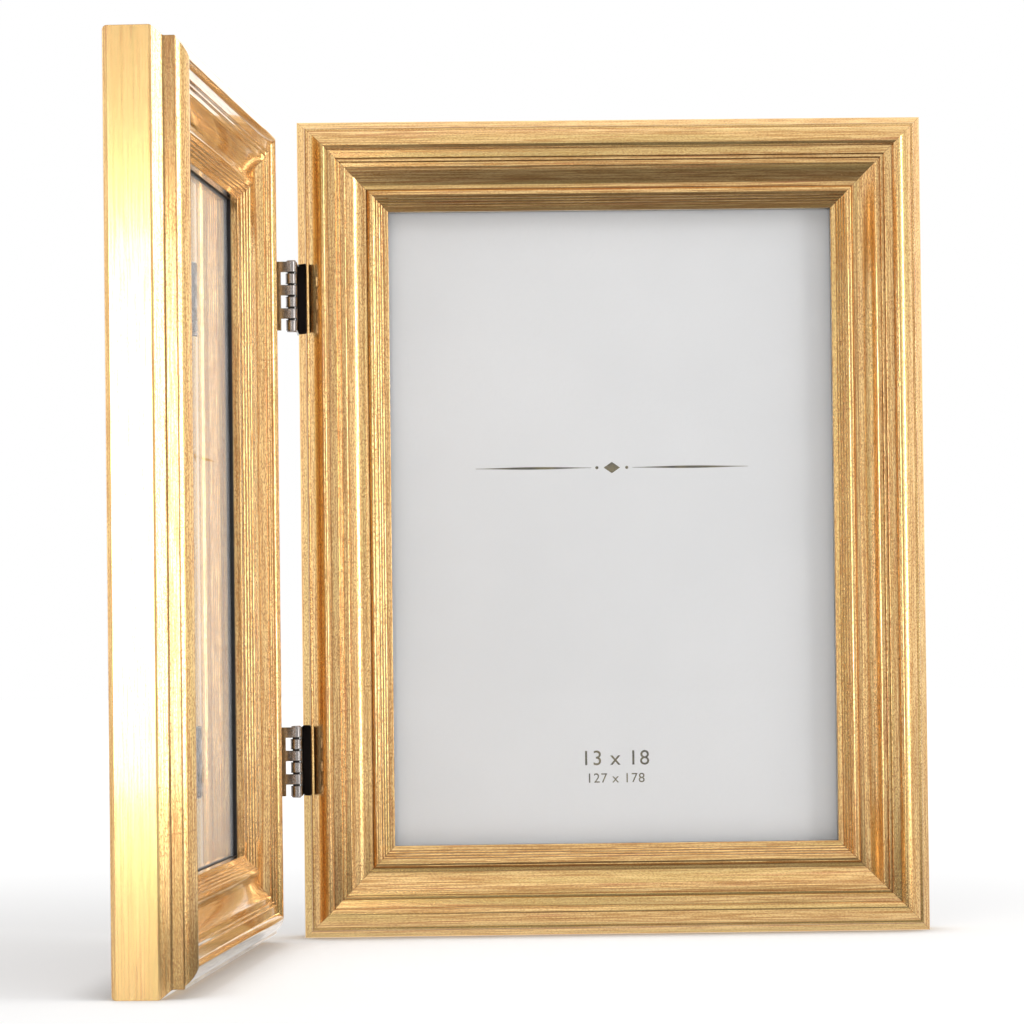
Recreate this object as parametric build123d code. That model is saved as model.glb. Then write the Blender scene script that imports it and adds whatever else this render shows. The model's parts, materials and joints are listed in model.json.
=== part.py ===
from build123d import *
import os
from math import cos, radians, sin

# Hinged double photo frame: two upright gilt wooden leaves, joined side by side by two small butt hinges.
# The right leaf faces -Y, the left leaf stands folded forward on the hinge pins, and both rest on Z = 0.

# Photograph and what lies with it in the rebate
photo_width = 127.0
photo_height = 177.8
photo_cover = 4.4
rebate_play = 0.4
rebate_depth = 8.3
glass_thickness = 2.0
card_thickness = 0.3
board_thickness = 3.0

# Moulding, band by band from the outer side to the sight edge
side_height = 11.0
back_edge_radius = 1.3
shoulder_width = 2.2
shoulder_rise = 2.5
step_rise = 2.9
ledge_width = 0.8
roll_width = 3.9
roll_rise = 2.5
roll_crown = 0.45
nose_width = 1.3
nose_fall = 1.25
nose_crown = 0.15
tread_width = 2.1
tread_fall = 0.2
riser_width = 0.25
riser_fall = 0.5
fillet_width = 0.7
drop_width = 0.25
drop_fall = 0.5
margin_width = 1.3
margin_fall = 0.1
cove_width = 4.5
cove_fall = 2.85
cove_hollow = 0.45
quirk_width = 1.1
bead_width = 0.7
bead_rise = 0.7
bead_crown = 0.1
cap_width = 1.2
cap_fall = 0.15
cap_crown = 0.15
reed_count = 4
reed_width = 0.65
reed_fall = 0.62
reed_crown = 0.12
lip_width = 1.3
lip_fall = 0.42
shoulder_edge_radius = 1.1
shoulder_foot_radius = 1.0
step_edge_radius = 0.35
crest_radius = 1.0
fillet_edge_radius = 0.2
margin_edge_radius = 0.8
lip_edge_radius = 0.3

# Corrugated nails that hold the mitres
nail_leg = 4.0
nail_thickness = 0.5
nail_depth = 6.5
nail_sink = 0.3
outer_nail_place = 5.5
inner_nail_place = 12.5

# Turn buttons on the back
button_thickness = 0.8
button_gap = 0.1
button_boss_radius = 4.0
button_tip_radius = 2.6
button_arm = 10.5
button_edge_bevel = 0.2
button_place = 15.5
button_spacing = 100.0
button_screw_radius = 1.3
button_screw_depth = 8.0
button_bore_clearance = 0.08
button_head_radius = 2.7
button_head_height = 1.0
button_head_bevel = 0.35
button_head_gap = 0.05

# Hinges
hinge_inset = 47.3
barrel_radius = 1.5
plate_thickness = 0.5
plate_margin = 1.2
axis_clearance = 2.7
knuckle_pairs = 3
knuckle_height = 2.78
knuckle_gap = 0.3
window_reach = 2.6
curl_opening = 60.0
plate_corner_radius = 1.4
pin_clearance = 0.05
pin_head_radius = 1.3
pin_head_height = 0.35
pin_head_bevel = 0.2
pin_head_gap = 0.05
hinge_screw_spacing = 10.4
hinge_screw_margin = 2.9
hinge_screw_radius = 1.0
hinge_screw_head_radius = 1.8
hinge_screw_length = 8.5
hinge_screw_point = 2.0

# Gain routed through the shoulder behind each hinge plate
gain_clearance = 0.25
gain_side_height = 7.0
gain_corner_radius = 0.6

# Cross recess in the screw heads
recess_width = 0.6
recess_share = 0.62
recess_depth = 0.7
hinge_recess_depth = 0.45

# Fold between the faces of the two leaves, in degrees
face_angle = 95.0

cut_overrun = 1.0

# Worked-out places
moulding_bands = [
    (shoulder_width, shoulder_rise, 0, shoulder_foot_radius),
    (0, step_rise, 0, step_edge_radius),
    (ledge_width, 0, 0, 0),
    (roll_width, roll_rise, roll_crown, crest_radius),
    (nose_width, -nose_fall, nose_crown, 0),
    (tread_width, -tread_fall, 0, fillet_edge_radius),
    (riser_width, -riser_fall, 0, 0),
    (fillet_width, 0, 0, fillet_edge_radius),
    (drop_width, -drop_fall, 0, 0),
    (margin_width, -margin_fall, 0, margin_edge_radius),
    (cove_width, -cove_fall, -cove_hollow, 0),
    (quirk_width, 0, 0, 0),
    (bead_width, bead_rise, bead_crown, 0),
    (cap_width, -cap_fall, cap_crown, 0),
]
moulding_bands += [(reed_width, -reed_fall, reed_crown, 0)] * reed_count
moulding_bands += [(lip_width, -lip_fall, 0, lip_edge_radius)]

moulding_width = sum(band[0] for band in moulding_bands)
crest_height = side_height + shoulder_rise + step_rise + roll_rise
leaf_width = photo_width - 2 * photo_cover + 2 * moulding_width
leaf_height = photo_height - 2 * photo_cover + 2 * moulding_width
rebate_wall = moulding_width - photo_cover - rebate_play
pad_thickness = rebate_depth - glass_thickness - card_thickness - board_thickness

axis_x = -barrel_radius
axis_y = -(crest_height + axis_clearance)
knuckle_pitch = knuckle_height + knuckle_gap
hinge_height = 2 * knuckle_pairs * knuckle_pitch - knuckle_gap
hinge_levels = {"lower": hinge_inset, "upper": leaf_height - hinge_inset}
button_levels = {
    "lower": (leaf_height - button_spacing) / 2,
    "upper": (leaf_height + button_spacing) / 2,
}


def moulding_section():
    """Cross-section of the stick, in from the outer side along X and forward from the back along -Y."""
    here = Vector(0, -side_height)
    edges = []
    softened = [(here, shoulder_edge_radius)]
    for width, rise, crown, softening in moulding_bands:
        start = here
        here = start + Vector(width, -rise)
        if crown:
            outward = (here - start).normalized().rotate(Axis.Z, -90)
            middle = (start + here) / 2 + outward * crown
            edges.append(ThreePointArc(start, middle, here))
        else:
            edges.append(Line(start, here))
        if softening:
            softened.append((here, softening))
    edges.append(
        Polyline(
            here,
            (moulding_width, -rebate_depth),
            (rebate_wall, -rebate_depth),
            (rebate_wall, 0),
            (0, 0),
            (0, -side_height),
        )
    )
    softened.append((Vector(0, 0), back_edge_radius))
    section = make_face(edges)
    for corner, radius in softened:
        vertex = section.vertices().sort_by_distance(corner)[0]
        section = fillet(vertex, radius)
    return section


def stick(length):
    """One length of moulding with both ends mitred, standing on Z = 0 with its outer side on X = 0."""
    blank = extrude(moulding_section(), length)
    blank = split(blank, Plane((0, 0, 0), z_dir=(-1, 0, 1)), keep=Keep.TOP)
    return split(blank, Plane((0, 0, length), z_dir=(-1, 0, -1)), keep=Keep.TOP)


def corner_nails():
    """Angle-shaped strips driven into the back across the four mitres, two at each corner."""
    nails = []
    for place in (outer_nail_place, inner_nail_place):
        across = Box(nail_leg, nail_depth, nail_thickness, align=(Align.MIN, Align.MAX, Align.MIN))
        upright = Box(nail_thickness, nail_depth, nail_leg, align=(Align.MIN, Align.MAX, Align.MIN))
        nail = Pos(place, -nail_sink, place) * (across + upright)
        other_side = mirror(nail, about=Plane((leaf_width / 2, 0, 0), z_dir=(1, 0, 0)))
        for low_nail in (nail, other_side):
            nails.append(low_nail)
            nails.append(mirror(low_nail, about=Plane((0, 0, leaf_height / 2), z_dir=(0, 0, 1))))
    return nails


def cross_recess(head_radius, depth):
    """Cross-shaped recess that is cut down from Z = 0 into a screw head."""
    arm = 2 * head_radius * recess_share
    bar = Box(arm, recess_width, depth, align=(Align.CENTER, Align.CENTER, Align.MAX))
    return bar + Rot(0, 0, 90) * bar


def sheet(thickness, front_height):
    """Flat sheet of the photograph's size in the rebate, its front that far forward from the back."""
    place = Pos(leaf_width / 2, -front_height, leaf_height / 2)
    return place * Box(photo_width, thickness, photo_height, align=(Align.CENTER, Align.MIN, Align.CENTER))


def turn_button():
    """Stamped steel turn button on its screw's axis, lying in the XY plane with its arm along +X."""
    boss = Circle(button_boss_radius)
    tip = Pos(button_arm, 0) * Circle(button_tip_radius)
    outline = make_hull(boss.edges() + tip.edges())
    blank = extrude(outline, button_thickness)
    blank = chamfer(blank.faces().sort_by(Axis.Z)[-1].edges(), button_edge_bevel)
    return blank - Cylinder(
        button_screw_radius + button_bore_clearance,
        button_thickness,
        align=(Align.CENTER, Align.CENTER, Align.MIN),
    )


def button_screw():
    """Pan-head screw of a turn button, its head's underside on Z = 0 and its shank below."""
    head = Cylinder(button_head_radius, button_head_height, align=(Align.CENTER, Align.CENTER, Align.MIN))
    head = chamfer(head.faces().sort_by(Axis.Z)[-1].edges(), button_head_bevel)
    head -= Pos(0, 0, button_head_height) * cross_recess(button_head_radius, recess_depth)
    under_head = button_head_gap + button_thickness + button_gap
    shank = Cylinder(
        button_screw_radius,
        under_head + button_screw_depth,
        align=(Align.CENTER, Align.CENTER, Align.MAX),
    )
    return head + shank


def hinge_screw_blank():
    """Countersunk screw before its recess, with its flat head on Z = 0 and its point below."""
    cone_depth = hinge_screw_head_radius - hinge_screw_radius
    shank_end = hinge_screw_length - hinge_screw_point
    half_outline = Polyline(
        (0, 0),
        (hinge_screw_head_radius, 0),
        (hinge_screw_radius, -cone_depth),
        (hinge_screw_radius, -shank_end),
        (0, -hinge_screw_length),
        close=True,
    )
    return revolve(Plane.XZ * make_face(half_outline), Axis.Z)


def hinge_plate(first_knuckle):
    """Stamped plate on the hinge axis: it runs back along +Y, its wood side on X = barrel_radius."""
    plate_reach = -axis_y - plate_margin
    inner_radius = barrel_radius - plate_thickness
    opening = radians(curl_opening)
    reach = 2 * barrel_radius
    wedge = Polygon((0, 0), (reach, 0), (reach * cos(opening), reach * sin(opening)), align=None)
    curl = Circle(barrel_radius) - Circle(inner_radius) - wedge
    tongue = Pos(inner_radius, 0) * Rectangle(
        plate_thickness, window_reach, align=(Align.MIN, Align.MIN)
    )
    knuckle = extrude(curl + tongue, knuckle_height)
    web = Pos(inner_radius, window_reach, 0) * Box(
        plate_thickness, plate_reach - window_reach, hinge_height, align=(Align.MIN, Align.MIN, Align.MIN)
    )
    far_corners = web.edges().filter_by(Axis.X).group_by(Axis.Y)[-1]
    plate = fillet(far_corners, plate_corner_radius)
    for index in range(first_knuckle, 2 * knuckle_pairs, 2):
        plate += Pos(0, 0, index * knuckle_pitch) * knuckle
    return Pos(0, 0, -hinge_height / 2) * plate


def hinge_pin():
    """Pin through the six knuckles, with a peened head at each end."""
    pin_radius = barrel_radius - plate_thickness - pin_clearance
    pin = Cylinder(pin_radius, hinge_height + 2 * pin_head_gap)
    head = Cylinder(pin_head_radius, pin_head_height, align=(Align.CENTER, Align.CENTER, Align.MIN))
    head = chamfer(head.faces().sort_by(Axis.Z)[-1].edges(), pin_head_bevel)
    head = Pos(0, 0, hinge_height / 2 + pin_head_gap) * head
    return pin + head + mirror(head, about=Plane.XY)


def hinge_screw_places():
    """Axes of one leaf's four hinge screws, each with its head outwards on the plate."""
    side = Rot(0, -90, 0)
    head_level = plate_margin + hinge_screw_margin
    places = []
    for level in hinge_levels.values():
        for offset in (-hinge_screw_spacing / 2, hinge_screw_spacing / 2):
            places.append(Pos(-plate_thickness, -head_level, level + offset) * side)
    return places


def button_places():
    """Axes of one leaf's four turn-button screws on its back, with the button's arm pointing inwards."""
    places = {}
    for name, level in button_levels.items():
        hinge_side = Pos(button_place, 0, level) * Rot(-90, 0, 0)
        outer_side = Pos(leaf_width - button_place, 0, level) * Rot(-90, 0, 0) * Rot(0, 0, 180)
        places["hinge_side_" + name] = hinge_side
        places["outer_side_" + name] = outer_side
    return places


def hinge_gains():
    """Pockets for the hinge plates, routed through the shoulder of the hinge stile from the front."""
    pocket = RectangleRounded(2 * shoulder_width, hinge_height + 2 * gain_clearance, gain_corner_radius)
    front = side_height + shoulder_rise + cut_overrun
    gains = []
    for level in hinge_levels.values():
        floor = Plane((0, -gain_side_height, level), x_dir=(1, 0, 0), z_dir=(0, -1, 0))
        gains.append(extrude(floor * pocket, front - gain_side_height))
    return gains


def leaf(first_knuckle):
    """All the pieces of one leaf, standing at the hinge's right with its face towards -Y."""
    nails = corner_nails()
    hinge_screws = [place * hinge_screw_blank() for place in hinge_screw_places()]
    screw_recess = cross_recess(hinge_screw_head_radius, hinge_recess_depth)
    screw_recesses = [place * screw_recess for place in hinge_screw_places()]
    head_level = button_gap + button_thickness + button_head_gap
    button_screws = [place * Pos(0, 0, head_level) * button_screw() for place in button_places().values()]

    sticks = {
        "hinge_stile": stick(leaf_height) - hinge_gains() - hinge_screws,
        "outer_stile": Pos(leaf_width, 0, leaf_height) * Rot(0, 180, 0) * stick(leaf_height),
        "top_rail": Pos(0, 0, leaf_height) * Rot(0, 90, 0) * stick(leaf_width),
        "bottom_rail": Pos(leaf_width, 0, 0) * Rot(0, -90, 0) * stick(leaf_width),
    }
    pieces = {name: piece - nails - button_screws for name, piece in sticks.items()}
    pieces["corner_nails"] = Compound(nails)
    pieces["glass"] = sheet(glass_thickness, rebate_depth)
    pieces["insert_card"] = sheet(card_thickness, rebate_depth - glass_thickness)
    pieces["filler_pad"] = sheet(pad_thickness, board_thickness + pad_thickness)
    pieces["backing_board"] = sheet(board_thickness, board_thickness)
    pieces["button_screws"] = Compound(button_screws)
    for name, place in button_places().items():
        pieces["turn_button_" + name] = place * Pos(0, 0, button_gap) * turn_button()
    for name, level in hinge_levels.items():
        plate = Pos(axis_x, axis_y, level) * hinge_plate(first_knuckle)
        pieces[name + "_hinge_plate"] = plate - hinge_screws
    pieces["hinge_screws"] = Compound([screw - screw_recesses for screw in hinge_screws])
    return pieces


def fold_left(piece):
    """Mirrors a piece to the left of the hinge axis and swings it forward to the fold."""
    flat = mirror(piece, about=Plane((axis_x, 0, 0), z_dir=(1, 0, 0)))
    return Pos(axis_x, axis_y, 0) * Rot(0, 0, 180 - face_angle) * Pos(-axis_x, -axis_y, 0) * flat


nodes = {"right_" + name: piece for name, piece in leaf(0).items()}
nodes.update({"left_" + name: fold_left(piece) for name, piece in leaf(1).items()})
for name, level in hinge_levels.items():
    nodes[name + "_hinge_pin"] = Pos(axis_x, axis_y, level) * hinge_pin()

# The origin is under the middle of the standing frame, on the table
overall = Compound(list(nodes.values())).bounding_box()
foot = Pos(-overall.center().X, -overall.center().Y, -overall.min.Z)

os.makedirs("parts", exist_ok=True)
for name, piece in nodes.items():
    placed = foot * piece
    placed.label = name
    export_step(placed, "parts/" + name + ".step")
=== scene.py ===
import math

import bmesh
import bpy
from mathutils import Matrix, Vector
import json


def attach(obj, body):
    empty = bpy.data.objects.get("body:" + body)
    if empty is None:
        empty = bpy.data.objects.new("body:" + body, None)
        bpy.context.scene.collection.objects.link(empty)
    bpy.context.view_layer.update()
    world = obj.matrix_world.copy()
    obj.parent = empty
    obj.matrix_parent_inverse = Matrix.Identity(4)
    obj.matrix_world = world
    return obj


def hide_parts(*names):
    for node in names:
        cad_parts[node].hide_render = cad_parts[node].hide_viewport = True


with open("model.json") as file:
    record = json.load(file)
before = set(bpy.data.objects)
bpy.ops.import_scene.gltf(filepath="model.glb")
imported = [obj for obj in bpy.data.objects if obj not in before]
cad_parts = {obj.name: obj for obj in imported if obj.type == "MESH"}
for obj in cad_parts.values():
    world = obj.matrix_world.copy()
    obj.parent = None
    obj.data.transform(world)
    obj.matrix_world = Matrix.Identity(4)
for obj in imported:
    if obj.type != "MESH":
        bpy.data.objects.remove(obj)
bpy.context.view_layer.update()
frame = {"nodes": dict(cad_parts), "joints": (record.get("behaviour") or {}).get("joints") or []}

nodes = frame["nodes"]

# Gilt mouldings: four sticks of machined fibreboard to each leaf, mitred and nailed at the corners.
# A streaky gold foil with a red-brown ground is rolled over the face and the outer side, then lacquered.
# The back stays bare board, the rebate is near black, partly its dark edge and partly painted shade of the
# gap around the glass, and the hinge gains are painted near black inside as painted shade of the narrow
# pocket beside the hinge plate.
leaf_width = 166.6
leaf_height = 217.4
gain_levels = (47.3, 170.1)
gain_width = 2.215
gain_height = 18.7
gain_floor = 6.98
fold = next(joint for joint in frame["joints"] if joint["name"] == "leaf_fold")
# a leaf's own millimetres: across from its hinge side, forward from its back as minus y, up from its foot
axis_in_leaf = Vector((-1.5, -21.6, 0.0))
hinge_axis = Vector((fold["pos_m"][0] * 1000.0, fold["pos_m"][1] * 1000.0, 0.0))
right_corner = hinge_axis - axis_in_leaf
closed_by = math.radians(85.0)


def add(work, kind, inputs=None, **settings):
    """One shader node, its inputs given as values or as the sockets that feed them"""
    node = work.nodes.new("ShaderNode" + kind)
    for name, value in settings.items():
        setattr(node, name, value)
    for name, value in (inputs or {}).items():
        socket = node.inputs[name]
        if isinstance(value, bpy.types.NodeSocket):
            work.links.new(value, socket)
        else:
            socket.default_value = value
    return node


def empty_material(name):
    """A node material with nothing in it yet, and its node tree"""
    finish = bpy.data.materials.new(name)
    finish.use_nodes = True
    finish.node_tree.nodes.clear()
    return finish, finish.node_tree


def coat_surface(work, shader):
    """The shader becomes the material's surface"""
    work.links.new(shader, add(work, "OutputMaterial").inputs[0])


def sum_of(work, operation, *terms):
    """One sum of any kind: the operation is the Math node's own word for it"""
    node = work.nodes.new("ShaderNodeMath")
    node.operation = operation
    for socket, term in zip(node.inputs, terms):
        if isinstance(term, bpy.types.NodeSocket):
            work.links.new(term, socket)
        else:
            socket.default_value = term
    return node.outputs[0]


def blend(work, share, first, second, way="MIX"):
    """Two colours laid over each other"""
    node = work.nodes.new("ShaderNodeMix")
    node.data_type = "RGBA"
    node.blend_type = way
    for socket, value in zip((node.inputs[0], node.inputs[6], node.inputs[7]), (share, first, second)):
        if isinstance(value, bpy.types.NodeSocket):
            work.links.new(value, socket)
        elif socket is node.inputs[0]:
            socket.default_value = value
        else:
            socket.default_value = (*value, 1.0)
    return node.outputs[2]


def rise(work, value, low, high, to_low=0.0, to_high=1.0):
    """A share that climbs as the value goes from low to high"""
    return add(
        work,
        "MapRange",
        {"Value": value, "From Min": low, "From Max": high, "To Min": to_low, "To Max": to_high},
        interpolation_type="SMOOTHSTEP",
    ).outputs[0]


def between(work, value, low, high, soft):
    """One between low and high, nothing outside"""
    up = rise(work, value, low - soft, low + soft)
    down = rise(work, value, high - soft, high + soft, 1.0, 0.0)
    return sum_of(work, "MULTIPLY", up, down)


def leaf_places(work, leaf):
    """Millimetres in from the hinge side, up, and forward from the back of a leaf"""
    if leaf == "left":
        scale = (-1000.0, 1000.0, 1000.0)
        turn = (0.0, 0.0, closed_by)
        mirrored = Vector((-hinge_axis.x, hinge_axis.y, 0.0))
        step = axis_in_leaf - Matrix.Rotation(closed_by, 3, "Z") @ mirrored
    else:
        scale = (1000.0, 1000.0, 1000.0)
        turn = (0.0, 0.0, 0.0)
        step = -right_corner
    spot = add(work, "TexCoord").outputs["Object"]
    placed = add(work, "Mapping", {"Vector": spot, "Location": step, "Rotation": turn, "Scale": scale})
    parts = add(work, "SeparateXYZ", {"Vector": placed.outputs[0]})
    return parts.outputs[0], parts.outputs[2], sum_of(work, "MULTIPLY", parts.outputs[1], -1.0)


def noise(work, spot, scale, detail, rough=0.5):
    """A cloudy pattern, from nothing to one"""
    settings = {"Vector": spot, "Scale": scale, "Detail": detail, "Roughness": rough}
    return add(work, "TexNoise", settings).outputs[0]


def streaks(work, along, across, height, long, fine, seed, detail=3.0, rough=0.6):
    """Noise drawn out along the stick: long and fine are its grain in millimetres"""
    place = add(
        work,
        "CombineXYZ",
        {
            "X": sum_of(work, "MULTIPLY", across, 1.0 / fine),
            "Y": sum_of(work, "MULTIPLY", height, 1.0 / fine),
            "Z": sum_of(work, "MULTIPLY", along, 1.0 / long),
        },
    )
    step = (seed * 7.3, seed * 3.1, seed * 11.7)
    moved = add(work, "VectorMath", {0: place.outputs[0], 1: step}, operation="ADD").outputs[0]
    return noise(work, moved, 1.0, detail, rough)


def gilding(leaf, stick, seed):
    """Rolled gold foil on one stick, its streaks running along it, with bare board behind"""
    finish, work = empty_material("gilding_" + leaf + "_" + stick)
    in_from_hinge, up, forward = leaf_places(work, leaf)
    side = sum_of(work, "MINIMUM", in_from_hinge, sum_of(work, "SUBTRACT", leaf_width, in_from_hinge))
    end = sum_of(work, "MINIMUM", up, sum_of(work, "SUBTRACT", leaf_height, up))
    across = sum_of(work, "MINIMUM", side, end)
    along = up if "stile" in stick else in_from_hinge

    # the foil was rolled on harder along the rails, which took more of the streaks and fewer specks
    on_rail = "rail" in stick
    longest, finest = (14.0, 0.34) if on_rail else (11.0, 0.28)
    fine = streaks(work, along, across, forward, longest, finest, seed, 2.0)
    long = streaks(work, along, across, forward, 45.0, 0.42, seed + 1, 2.0)
    broad = streaks(work, along, across, forward, 110.0, 3.2, seed + 2, 2.0, 0.5)
    red = streaks(work, along, across, forward, 30.0, 1.2, seed + 3)
    speck = streaks(work, along, across, forward, 0.6, 0.24, seed + 4, 1.0, 0.5)

    pale_foil = (0.93, 0.61, 0.25) if on_rail else (0.90, 0.59, 0.24)
    deep_foil = (0.58, 0.31, 0.095) if on_rail else (0.64, 0.345, 0.11)
    # the foil lies smoother on the flat outer side, where the streaks and the ground show less
    rolled = rise(work, across, 0.0, 0.5, 0.45, 1.0)
    gold = blend(work, sum_of(work, "MULTIPLY", rise(work, fine, 0.38, 0.62), rolled), pale_foil, deep_foil)
    dark_streaks = sum_of(work, "MULTIPLY", rise(work, long, 0.54, 0.66, 0.0, 0.65), rolled)
    gold = blend(work, dark_streaks, gold, (0.46, 0.22, 0.065))
    gold = blend(work, rise(work, long, 0.30, 0.44, 0.5, 0.0), gold, (0.94, 0.67, 0.31))
    gold = blend(work, rise(work, broad, 0.50, 0.64, 0.0, 0.55), gold, (0.66, 0.48, 0.17))
    gold = blend(work, rise(work, red, 0.56, 0.72, 0.0, 0.5), gold, (0.64, 0.27, 0.115))
    shown_ground = rise(work, across, 0.0, 0.5, 0.2, 0.5 if on_rail else 0.9)
    dark_specks = sum_of(work, "MULTIPLY", rise(work, speck, 0.52, 0.62, 0.0, 0.62), shown_ground)
    light_specks = sum_of(work, "MULTIPLY", rise(work, speck, 0.36, 0.46, 0.35, 0.0), shown_ground)
    gold = blend(work, dark_specks, gold, (0.38, 0.165, 0.05))
    gold = blend(work, light_specks, gold, (0.98, 0.72, 0.36))

    # the quirks and the valleys between the reeds are painted dark brown, partly dirt and partly painted
    # shade in these creases: place, reach and strength of each line
    creases = (
        (2.2, 0.5, 0.6),
        (8.3, 0.35, 0.45),
        (10.6, 0.35, 0.4),
        (11.45, 0.25, 0.55),
        (17.4, 0.5, 0.3),
        (18.45, 0.45, 0.75),
    )
    crease_dirt_and_shade = None
    for place, reach, share in creases:
        away = sum_of(work, "ABSOLUTE", sum_of(work, "SUBTRACT", across, place))
        line = rise(work, away, 0.0, reach, share, 0.0)
        crease_dirt_and_shade = line if crease_dirt_and_shade is None else sum_of(work, "MAXIMUM", crease_dirt_and_shade, line)
    reeds_start, reeds_end, reed = 20.3, 22.9, 0.65
    off_valley = sum_of(work, "PINGPONG", sum_of(work, "SUBTRACT", across, reeds_start), reed / 2)
    valleys = rise(work, off_valley, 0.0, reed * 0.3, 0.6, 0.0)
    among_reeds = between(work, across, reeds_start, reeds_end, reed / 4)
    crease_dirt_and_shade = sum_of(work, "MAXIMUM", crease_dirt_and_shade, sum_of(work, "MULTIPLY", valleys, among_reeds))
    on_face = rise(work, forward, 9.0, 10.5)
    crease_dirt_and_shade = sum_of(work, "MULTIPLY", crease_dirt_and_shade, on_face)
    crease_dirt_and_shade = sum_of(work, "MULTIPLY", crease_dirt_and_shade, rise(work, fine, 0.3, 0.6, 0.65, 1.0))
    # the creases are darkened here: partly dirt, partly painted shade
    gold = blend(work, crease_dirt_and_shade, gold, (0.20, 0.09, 0.026))

    # the filled mitres show as faint hairlines
    corner = sum_of(work, "ABSOLUTE", sum_of(work, "SUBTRACT", side, end))
    gold = blend(work, rise(work, corner, 0.04, 0.16, 0.4, 0.0), gold, (0.15, 0.06, 0.02))

    # bare fibreboard on the back; the rebate and the foot of the lip beside the glass are near black, partly
    # the board's dark edge and partly painted shade of the narrow gap around the glass
    behind = rise(work, forward, 0.02, 0.12, 1.0, 0.0)
    in_rebate = sum_of(
        work, "MULTIPLY", rise(work, across, 19.0, 19.2), rise(work, forward, 9.0, 9.5, 1.0, 0.0)
    )
    bare = sum_of(work, "MAXIMUM", behind, in_rebate)
    fibre = noise(work, add(work, "TexCoord").outputs["Object"], 2600.0, 4.0)
    board = blend(work, rise(work, fibre, 0.35, 0.7), (0.40, 0.255, 0.135), (0.23, 0.135, 0.065))
    # near black in the rebate: partly a dark edge, partly painted shade of the gap around the glass
    board = blend(work, rise(work, in_rebate, 0.0, 0.5), board, (0.012, 0.010, 0.010))
    colour = blend(work, bare, gold, board)

    if stick == "hinge_stile":
        near_edge = between(work, in_from_hinge, -0.5, gain_width, 0.004)
        deep = sum_of(work, "MULTIPLY", near_edge, rise(work, forward, gain_floor - 0.01, gain_floor + 0.01))
        painted_gain_shade = 0.0
        for level in gain_levels:
            tall = between(work, up, level - gain_height / 2, level + gain_height / 2, 0.01)
            painted_gain_shade = sum_of(work, "MAXIMUM", painted_gain_shade, sum_of(work, "MULTIPLY", deep, tall))
        # painted shade: the gain pocket beside the hinge plate is coloured near black
        colour = blend(work, painted_gain_shade, colour, (0.05, 0.03, 0.024))
        bare = sum_of(work, "MAXIMUM", bare, painted_gain_shade)

    gilt = sum_of(work, "SUBTRACT", 1.0, bare)
    rough = rise(work, fine, 0.3, 0.75, 0.13, 0.23)
    rough = sum_of(work, "ADD", rough, rise(work, speck, 0.5, 0.8, 0.0, 0.06))
    rough = sum_of(work, "ADD", rough, sum_of(work, "MULTIPLY", bare, 0.45))
    ridges = sum_of(work, "ADD", sum_of(work, "MULTIPLY", fine, 0.7), sum_of(work, "MULTIPLY", speck, 0.3))
    bump = add(work, "Bump", {"Height": ridges, "Strength": 0.18, "Distance": 0.00003})
    shader = add(
        work,
        "BsdfPrincipled",
        {
            "Base Color": colour,
            "Metallic": sum_of(work, "MULTIPLY", gilt, 0.95),
            "Roughness": rough,
            "Normal": bump.outputs[0],
            "Coat Weight": sum_of(work, "MULTIPLY", gilt, 0.6),
        },
    )
    shader.inputs["Coat Roughness"].default_value = 0.05
    shader.inputs["Coat IOR"].default_value = 1.5
    coat_surface(work, shader.outputs[0])
    return finish


for leaf in ("right", "left"):
    for seed, stick in enumerate(("hinge_stile", "outer_stile", "top_rail", "bottom_rail")):
        nodes[leaf + "_" + stick].material_slots[0].material = gilding(leaf, stick, seed * 9 + len(leaf))

# Corner nails: corrugated steel strips driven across the mitres from the back and set below the surface.
# They are blued mill steel, a little scuffed by the nailing punch.


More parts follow.
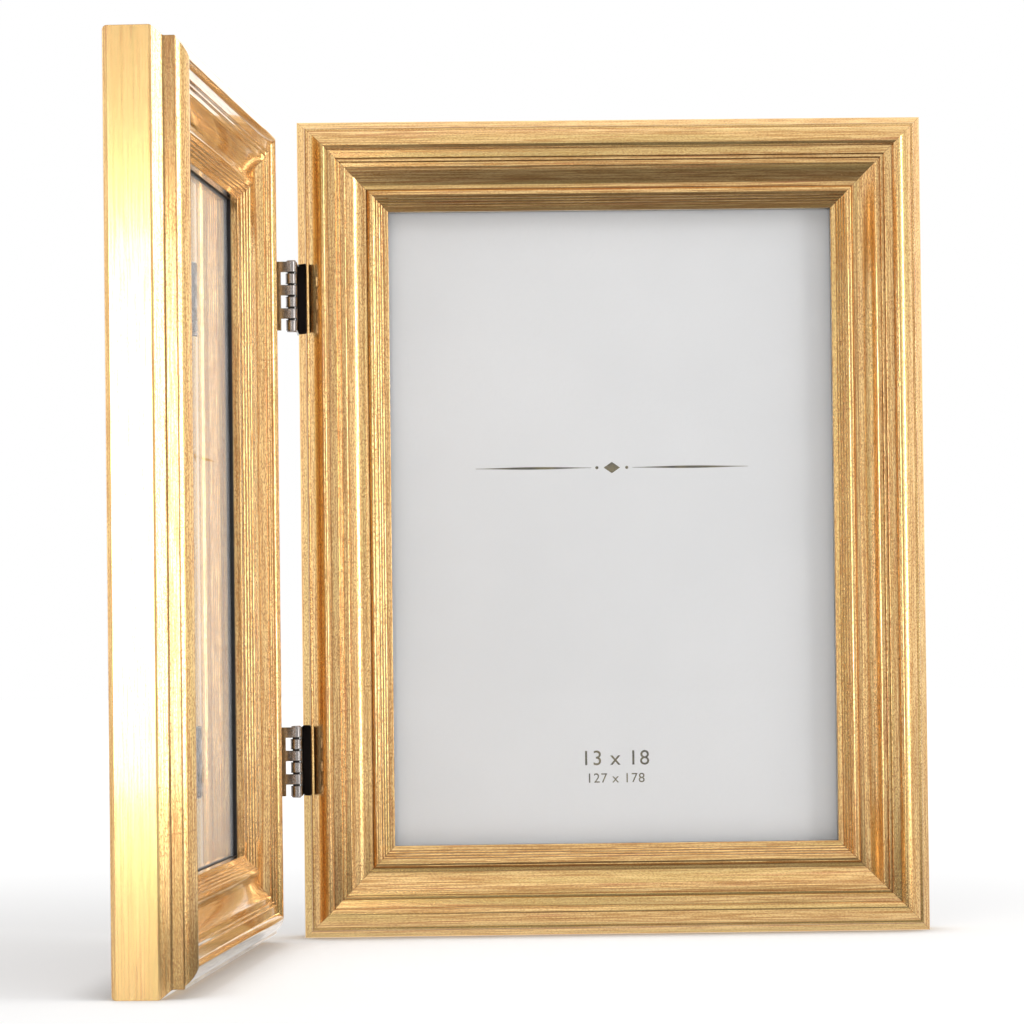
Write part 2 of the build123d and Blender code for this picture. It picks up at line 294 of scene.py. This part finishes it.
def plain_metal(name, colour, worn, rough, grain, seed, metal=1.0, rubbed_round=None):
    """Plated or mill-finished steel: a cloudy plating with brushed lines and lighter rubbed spots"""
    finish, work = empty_material(name)
    spot = add(work, "TexCoord").outputs["Object"]
    drawn = add(work, "Mapping", {"Vector": spot, "Location": (seed, 0.0, seed), "Scale": grain})
    brushed = noise(work, drawn.outputs[0], 1.0, 3.0)
    cloud = noise(work, spot, 420.0, 5.0, 0.65)
    plating = blend(work, rise(work, cloud, 0.38, 0.66), colour, worn)
    dark_lines = tuple(0.55 * part for part in colour)
    plating = blend(work, rise(work, brushed, 0.55, 0.8, 0.0, 0.5), plating, dark_lines)
    if rubbed_round is not None:
        to_axis = add(work, "VectorMath", {0: spot, 1: rubbed_round}, operation="SUBTRACT")
        flat = add(work, "VectorMath", {0: to_axis.outputs[0], 1: (1.0, 1.0, 0.0)}, operation="MULTIPLY")
        away = add(work, "VectorMath", {0: flat.outputs[0]}, operation="LENGTH").outputs["Value"]
        # handling rubs the barrel brighter, and the joints where one knuckle ends and the next begins are
        # painted dark, as painted shade in the gaps between the knuckles
        on_barrel = rise(work, away, (barrel_reach - 0.1) / 1000.0, (barrel_reach + 0.1) / 1000.0, 1.0, 0.0)
        plating = blend(work, on_barrel, plating, (0.33, 0.30, 0.285))
        from_foot = add(work, "SeparateXYZ", {"Vector": spot}).outputs[2]
        for level in gain_levels:
            for joint in (-2, -1, 0, 1, 2):
                place = (level + joint * knuckle_pitch) / 1000.0
                line = between(work, from_foot, place - 0.0003, place + 0.0003, 0.00012)
                line = sum_of(work, "MULTIPLY", line, on_barrel)
                # painted shade in the knuckle gaps
                plating = blend(work, line, plating, (0.03, 0.027, 0.026))
    worn_rough = rise(work, cloud, 0.3, 0.7, rough - 0.06, rough + 0.08)
    bump = add(work, "Bump", {"Height": brushed, "Strength": 0.2, "Distance": 0.00003})
    shader = add(
        work,
        "BsdfPrincipled",
        {
            "Base Color": plating,
            "Roughness": sum_of(work, "ADD", worn_rough, rise(work, brushed, 0.4, 0.8, 0.0, 0.08)),
            "Normal": bump.outputs[0],
        },
    )
    shader.inputs["Metallic"].default_value = metal
    coat_surface(work, shader.outputs[0])
    return finish


nail_steel = plain_metal(
    "blued_nail_steel", (0.16, 0.17, 0.19), (0.34, 0.34, 0.35), 0.42, (500.0, 500.0, 4000.0), 1.0
)
for leaf in ("right", "left"):
    nodes[leaf + "_corner_nails"].material_slots[0].material = nail_steel

# Glass: 2 mm float glass cut to the photo's size, its edges seamed by hand, lying on the rebate's lip.
# The pane stands a hair off the card behind it, as two flat sheets do.
pane_sizes = (127.0, 177.8)
pane_front = 8.3
pane_back = 6.36
seam = 0.18


def leaf_frame(leaf):
    """From a leaf's own millimetres, across, back and up, to the standing frame's metres"""
    placed = Matrix.Scale(0.001, 4) @ Matrix.Translation(right_corner)
    if leaf == "right":
        return placed
    swing = Matrix.Translation(axis_in_leaf) @ Matrix.Rotation(closed_by, 4, "Z")
    mirror = Matrix.Scale(-1.0, 4, (1.0, 0.0, 0.0)) @ Matrix.Translation(-axis_in_leaf)
    return placed @ swing @ mirror


def shown(name, shape, finish, body):
    """A finished piece of this scene, riding on its leaf"""
    mesh = bpy.data.meshes.new(name)
    shape.to_mesh(mesh)
    shape.free()
    mesh.materials.append(finish)
    piece = bpy.data.objects.new(name, mesh)
    bpy.context.scene.collection.objects.link(piece)
    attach(piece, body)
    return piece


def two_shaders(work, share, first, second):
    """The second shader laid over the first by its share"""
    mix = work.nodes.new("ShaderNodeMixShader")
    work.links.new(share, mix.inputs[0])
    work.links.new(first, mix.inputs[1])
    work.links.new(second, mix.inputs[2])
    return mix.outputs[0]


def float_glass():
    """Clear glass that lets lamp light through to the card, with faint wipe marks"""
    finish, work = empty_material("float_glass")
    spot = add(work, "TexCoord").outputs["Object"]
    wipe = noise(work, spot, 60.0, 3.0)
    glass = add(
        work,
        "BsdfPrincipled",
        {
            "Base Color": (0.99, 0.995, 0.992, 1.0),
            "Roughness": rise(work, wipe, 0.35, 0.75, 0.0, 0.012),
        },
    )
    glass.inputs["Transmission Weight"].default_value = 1.0
    glass.inputs["IOR"].default_value = 1.5
    path = add(work, "LightPath")
    through = add(work, "BsdfTransparent", {"Color": (0.97, 0.975, 0.973, 1.0)})
    lit = sum_of(work, "MAXIMUM", path.outputs["Is Shadow Ray"], path.outputs["Is Diffuse Ray"])
    coat_surface(work, two_shaders(work, lit, glass.outputs[0], through.outputs[0]))
    return finish


clear = float_glass()
for leaf in ("right", "left"):
    sheet = bmesh.new()
    bmesh.ops.create_cube(sheet, size=1.0)
    middle = Vector((leaf_width / 2, -(pane_front + pane_back) / 2, leaf_height / 2))
    for corner in sheet.verts:
        x, y, z = corner.co
        corner.co = middle + Vector((x * pane_sizes[0], y * (pane_front - pane_back), z * pane_sizes[1]))
    bmesh.ops.bevel(sheet, geom=list(sheet.edges), offset=seam, segments=1, affect="EDGES")
    bmesh.ops.transform(sheet, matrix=leaf_frame(leaf), verts=sheet.verts)
    bmesh.ops.recalc_face_normals(sheet, faces=sheet.faces)
    pane = shown(leaf + "_pane", sheet, clear, leaf + "_leaf")
    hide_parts(leaf + "_glass")

# Insert card: smooth coated card, printed with a small ornament and the picture size in bronze ink.
# It lies loose behind the glass and is taken out when a photo goes in.


def card_stock():
    """Cool white card with a fine tooth"""
    finish, work = empty_material("coated_card")
    spot = add(work, "TexCoord").outputs["Object"]
    fibre = noise(work, spot, 1500.0, 5.0)
    cloud = noise(work, spot, 25.0, 2.0)
    paper = blend(work, rise(work, cloud, 0.3, 0.7), (0.87, 0.865, 0.885), (0.84, 0.837, 0.857))
    paper = blend(work, rise(work, fibre, 0.45, 0.75, 0.0, 0.25), paper, (0.78, 0.78, 0.795))
    bump = add(work, "Bump", {"Height": fibre, "Strength": 0.08, "Distance": 0.00003})
    rough = rise(work, fibre, 0.3, 0.7, 0.5, 0.62)
    shader = add(work, "BsdfPrincipled", {"Base Color": paper, "Roughness": rough, "Normal": bump.outputs[0]})
    coat_surface(work, shader.outputs[0])
    return finish


def bronze_ink():
    """Dark brown ink with a little bronze powder in it"""
    finish, work = empty_material("bronze_ink")
    spot = add(work, "TexCoord").outputs["Object"]
    cloud = noise(work, spot, 300.0, 4.0)
    ink = blend(work, rise(work, cloud, 0.35, 0.65), (0.055, 0.045, 0.028), (0.17, 0.135, 0.06))
    rough = rise(work, cloud, 0.3, 0.7, 0.3, 0.45)
    shader = add(work, "BsdfPrincipled", {"Base Color": ink, "Roughness": rough})
    shader.inputs["Metallic"].default_value = 0.5
    coat_surface(work, shader.outputs[0])
    return finish


card = card_stock()
ink = bronze_ink()
card_front = 6.3
ink_thickness = 0.02


def printed_numbers(words, size, level, leaf):
    """Plain numbers set on the middle of the card"""
    type_line = bpy.data.curves.new("type", "FONT")
    type_line.body = words
    type_line.size = size
    type_line.align_x = "CENTER"
    type_line.space_character = 1.08
    type_line.resolution_u = 6
    holder = bpy.data.objects.new("type", type_line)
    bpy.context.scene.collection.objects.link(holder)
    bpy.context.view_layer.update()
    flat = bpy.data.meshes.new_from_object(holder.evaluated_get(bpy.context.evaluated_depsgraph_get()))
    bpy.data.objects.remove(holder)
    shape = bmesh.new()
    shape.from_mesh(flat)
    bpy.data.meshes.remove(flat)
    bpy.data.curves.remove(type_line)
    for point in shape.verts:
        across = -point.co.x if leaf == "left" else point.co.x
        point.co = Vector((leaf_width / 2 + across, -(card_front + ink_thickness), level + point.co.y))
    return shape


def printed_ornament(level):
    """A ruled line that swells towards the middle, with a lozenge and two dots"""
    shape = bmesh.new()
    front = -(card_front + ink_thickness)

    def lay(points):
        shape.faces.new([shape.verts.new((leaf_width / 2 + x, front, level + z)) for x, z in points])

    line_start = 5.5
    line_length = 31.0
    steps = 24
    dot_place = 4.0
    dot_radius = 0.42
    for way in (-1.0, 1.0):
        top = []
        for step in range(steps + 1):
            share = step / steps
            half_height = 0.28 * math.sin(math.pi * share) ** 1.5 + 0.05
            top.append((way * (line_start + line_length * share), half_height))
        lay(top + [(x, -z) for x, z in reversed(top)])
        turns = [math.tau * step / 16 for step in range(16)]
        lay([(way * dot_place + dot_radius * math.cos(a), dot_radius * math.sin(a)) for a in turns])
    lay([(-2.2, 0.0), (0.0, -1.5), (2.2, 0.0), (0.0, 1.5)])
    return shape


for leaf in ("right", "left"):
    nodes[leaf + "_insert_card"].material_slots[0].material = card
    prints = {
        "size_numbers": printed_numbers("13 x 18", 5.6, 44.9, leaf),
        "millimetre_numbers": printed_numbers("127 x 178", 3.6, 40.2, leaf),
        "ornament": printed_ornament(124.5),
    }
    for name, shape in prints.items():
        bmesh.ops.transform(shape, matrix=leaf_frame(leaf), verts=shape.verts)
        shown(leaf + "_" + name, shape, ink, leaf + "_leaf")

# Filler pad: single-wall corrugated board that presses the card and the glass forward.
# Brown kraft liners show the flutes as faint ribs.


def kraft_board():
    """Brown kraft paper over flutes that run across the board"""
    finish, work = empty_material("kraft_corrugated_board")
    spot = add(work, "TexCoord").outputs["Object"]
    fibre = noise(work, spot, 900.0, 6.0, 0.7)
    parts = add(work, "SeparateXYZ", {"Vector": spot})
    flute_pitch = 0.0065
    flute = sum_of(work, "SINE", sum_of(work, "MULTIPLY", parts.outputs[2], math.tau / flute_pitch))
    kraft = blend(work, rise(work, fibre, 0.35, 0.7), (0.47, 0.32, 0.19), (0.33, 0.21, 0.12))
    kraft = blend(work, rise(work, flute, -1.0, 1.0, 0.0, 0.18), kraft, (0.25, 0.155, 0.085))
    height = sum_of(work, "ADD", sum_of(work, "MULTIPLY", flute, 0.5), fibre)
    bump = add(work, "Bump", {"Height": height, "Strength": 0.4, "Distance": 0.0001})
    rough = rise(work, fibre, 0.3, 0.7, 0.75, 0.9)
    shader = add(work, "BsdfPrincipled", {"Base Color": kraft, "Roughness": rough, "Normal": bump.outputs[0]})
    coat_surface(work, shader.outputs[0])
    return finish


kraft = kraft_board()
for leaf in ("right", "left"):
    nodes[leaf + "_filler_pad"].material_slots[0].material = kraft

# Backing board: 3 mm hardboard, its smooth face out, held in the rebate by the turn buttons.
# Hot pressing leaves it brown with dark fibre flecks and a faint sheen.


def hardboard():
    """Pressed brown fibre with dark flecks"""
    finish, work = empty_material("pressed_hardboard")
    spot = add(work, "TexCoord").outputs["Object"]
    fibre = noise(work, spot, 1900.0, 4.0, 0.6)
    fleck = add(work, "TexVoronoi", {"Vector": spot, "Scale": 520.0}).outputs["Distance"]
    cloud = noise(work, spot, 18.0, 3.0)
    brown = blend(work, rise(work, fibre, 0.35, 0.68), (0.24, 0.132, 0.066), (0.165, 0.085, 0.040))
    brown = blend(work, rise(work, cloud, 0.4, 0.7, 0.0, 0.3), brown, (0.28, 0.16, 0.082))
    brown = blend(work, rise(work, fleck, 0.0, 0.16, 0.5, 0.0), brown, (0.09, 0.045, 0.02))
    bump = add(work, "Bump", {"Height": fibre, "Strength": 0.25, "Distance": 0.00006})
    rough = rise(work, fibre, 0.3, 0.7, 0.42, 0.6)
    shader = add(work, "BsdfPrincipled", {"Base Color": brown, "Roughness": rough, "Normal": bump.outputs[0]})
    coat_surface(work, shader.outputs[0])
    return finish


backing = hardboard()
for leaf in ("right", "left"):
    nodes[leaf + "_backing_board"].material_slots[0].material = backing

# Turn buttons and their pan-head screws: stamped steel, bright zinc plated, four to each leaf.
# Each swings on its screw to let the backing board out.
zinc = plain_metal("bright_zinc", (0.46, 0.47, 0.49), (0.62, 0.62, 0.60), 0.32, (300.0, 300.0, 5200.0), 5.0)
for name, node in nodes.items():
    if "turn_button" in name or "button_screws" in name:
        node.material_slots[0].material = zinc

# Hinges: two small butt hinges, their plates stamped and curled round the pin, nickel plated.
# Each plate has three windows beside the knuckles, and its screws go into the hinge stile's outer side.
knuckle_pitch = 3.08
barrel_reach = 1.7
nickel = plain_metal(
    "dark_nickel", (0.155, 0.135, 0.123), (0.215, 0.192, 0.177), 0.15, (4200.0, 4200.0, 260.0), 9.0,
    rubbed_round=hinge_axis / 1000.0,
)
for name, node in nodes.items():
    if "hinge_plate" in name or "hinge_pin" in name or "hinge_screws" in name:
        node.material_slots[0].material = nickel

# Floor, light and camera: a white studio table and backdrop, and four soft boxes.
# The gold mirrors the table with a painted darker patch in front of the object, and the camera's place, as
# the only darker things, and the table keeps a soft shadow where the object comes close to it, cast partly by
# the lamps and partly painted by dimming its glow there.
backdrop = bpy.data.worlds.new("white_studio")
bpy.context.scene.world = backdrop
backdrop.use_nodes = True
work = backdrop.node_tree
work.nodes.clear()
path = add(work, "LightPath")
# the camera sees the backdrop pure white; the gold mirrors it greyer behind the camera, brighter elsewhere
facing = add(work, "SeparateXYZ", {"Vector": add(work, "TexCoord").outputs["Generated"]})
behind_camera = rise(work, facing.outputs[1], -1.0, -0.55, 0.88, 1.12)
beside_and_behind = rise(work, facing.outputs[1], -0.1, 0.35, 0.0, 0.30)
wall = sum_of(work, "ADD", behind_camera, beside_and_behind)
mirrored = path.outputs["Is Glossy Ray"]
room_light = 0.44
through = sum_of(work, "MAXIMUM", path.outputs["Is Camera Ray"], path.outputs["Is Transmission Ray"])
level = sum_of(work, "ADD", room_light, sum_of(work, "MULTIPLY", through, 1.0 - room_light))
more_mirrored = sum_of(work, "MULTIPLY", mirrored, sum_of(work, "SUBTRACT", wall, level))
level = sum_of(work, "ADD", level, more_mirrored)
sky = add(work, "Background", {"Color": (1.0, 1.0, 1.0, 1.0), "Strength": level})
work.links.new(sky.outputs[0], add(work, "OutputWorld").inputs[0])


def stage_sheet(name, corners, finish):
    """A flat sheet of the studio, which is no part of the object"""
    mesh = bpy.data.meshes.new(name)
    mesh.from_pydata(corners, [], [tuple(range(len(corners)))])
    mesh.materials.append(finish)
    sheet = bpy.data.objects.new(name, mesh)
    bpy.context.scene.collection.objects.link(sheet)
    return sheet


white, work = empty_material("white_table")
path = add(work, "LightPath")
seen = sum_of(work, "MAXIMUM", path.outputs["Is Camera Ray"], path.outputs["Is Transmission Ray"])
paint = add(work, "BsdfDiffuse", {"Color": (0.80, 0.80, 0.80, 1.0)})
place = add(work, "TexCoord").outputs["Object"]
from_object = add(work, "VectorMath", {0: place}, operation="LENGTH").outputs["Value"]
# the sheet gives off some light of its own, so it goes out to pure white away from the object
own_light = rise(work, from_object, 0.15, 0.9, 0.42, 0.80)
# painted contact shadow: the table's glow is dimmed where the object comes close
openness = add(work, "AmbientOcclusion", {"Distance": 0.022}, samples=8).outputs["AO"]
own_light = sum_of(work, "MULTIPLY", own_light, rise(work, openness, 0.5, 0.92, 0.3, 1.0))
own_light = sum_of(work, "MULTIPLY", seen, own_light)
glow = add(work, "Emission", {"Color": (1.0, 1.0, 1.0, 1.0), "Strength": own_light})
lit = work.nodes.new("ShaderNodeAddShader")
work.links.new(paint.outputs[0], lit.inputs[0])
work.links.new(glow.outputs[0], lit.inputs[1])
# the gold mirrors it as a glowing white sheet with a painted darker patch in front of the object, a painted
# reflection that the camera never sees on the table
spot = add(work, "SeparateXYZ", {"Vector": place})
in_front = rise(work, spot.outputs[1], -0.62, -0.30)
in_front = sum_of(work, "MULTIPLY", in_front, rise(work, spot.outputs[1], 0.052, 0.068, 1.0, 0.0))
in_front = sum_of(work, "MULTIPLY", in_front, between(work, spot.outputs[0], -0.07, 0.17, 0.05))
# painted reflection: the table's glow as the gold sees it, lowered in front of the object
painted_reflection_level = sum_of(work, "SUBTRACT", 0.95, sum_of(work, "MULTIPLY", in_front, 0.72))
mirrored = add(work, "Emission", {"Color": (1.0, 1.0, 1.0, 1.0), "Strength": painted_reflection_level})
table = two_shaders(work, path.outputs["Is Glossy Ray"], lit.outputs[0], mirrored.outputs[0])
coat_surface(work, table)
table_reach = 4.0
corners = ((-1.0, -1.0), (1.0, -1.0), (1.0, 1.0), (-1.0, 1.0))
stage_sheet("table", [(table_reach * x, table_reach * y, 0.0) for x, y in corners], white)

# a grey disc with a soft rim stands a little behind the camera and shows in reflections alone
dim, work = empty_material("camera_place")
dim_place = (0.0, -1.35, 0.125)
spot = add(work, "TexCoord").outputs["Object"]
away = add(work, "VectorMath", {0: spot, 1: dim_place}, operation="DISTANCE").outputs["Value"]
grey = add(work, "Emission", {"Color": (0.60, 0.60, 0.60, 1.0), "Strength": 1.0})
clear_air = add(work, "BsdfTransparent", {"Color": (1.0, 1.0, 1.0, 1.0)})
disc = two_shaders(work, rise(work, away, 0.05, 0.11), grey.outputs[0], clear_air.outputs[0])
coat_surface(work, disc)
reach = 0.115
middle_x, middle_y, middle_z = dim_place
around = [(middle_x + reach * x, middle_y, middle_z + reach * z) for x, z in corners]
place_of_camera = stage_sheet("camera_place", around, dim)
place_of_camera.visible_camera = place_of_camera.visible_diffuse = False
place_of_camera.visible_shadow = place_of_camera.visible_transmission = False


def soft_box(name, place, target, width, height, brightness):
    """A lamp box turned to its target: brightness is that of its white front"""
    lamp = bpy.data.lights.new(name, "AREA")
    lamp.shape = "RECTANGLE"
    lamp.size = width
    lamp.size_y = height
    lamp.energy = brightness * math.pi * width * height
    box = bpy.data.objects.new(name, lamp)
    bpy.context.scene.collection.objects.link(box)
    box.location = place
    box.rotation_euler = (Vector(target) - Vector(place)).to_track_quat("-Z", "Y").to_euler()
    return box


soft_box("left_front_box", (-0.262, -1.0, 0.135), (-0.05, -0.05, 0.11), 0.25, 0.25, 6.5)
soft_box("right_front_box", (0.98, -0.58, 0.15), (-0.02, 0.0, 0.11), 0.17, 0.60, 7.0)
top_box = soft_box("top_box", (0.10, -0.75, 1.15), (0.0, 0.05, 0.1), 1.2, 0.8, 1.0)
side_box = soft_box("side_box", (1.0, -0.25, 0.35), (-0.05, 0.0, 0.11), 0.7, 0.9, 3.0)
top_box.visible_glossy = side_box.visible_glossy = False

# the camera stands a metre in front of the object, nearly level, fitted to the edges in the photograph
lens = bpy.data.cameras.new("camera")
lens.sensor_width = 36.0
lens.lens = 141.783
lens.shift_y = 0.04
camera = bpy.data.objects.new("camera", lens)
bpy.context.scene.collection.objects.link(camera)
aim = (
    Matrix.Rotation(math.radians(-1.135), 4, "Z")
    @ Matrix.Rotation(math.radians(1.076), 4, "X")
    @ Matrix.Rotation(math.radians(0.679), 4, "Y")
    @ Matrix.Rotation(math.radians(90.0), 4, "X")
)
camera.matrix_world = Matrix.Translation((-0.029165, -0.993183, 0.081637)) @ aim
bpy.context.scene.camera = camera
bpy.context.scene.view_settings.view_transform = "Standard"
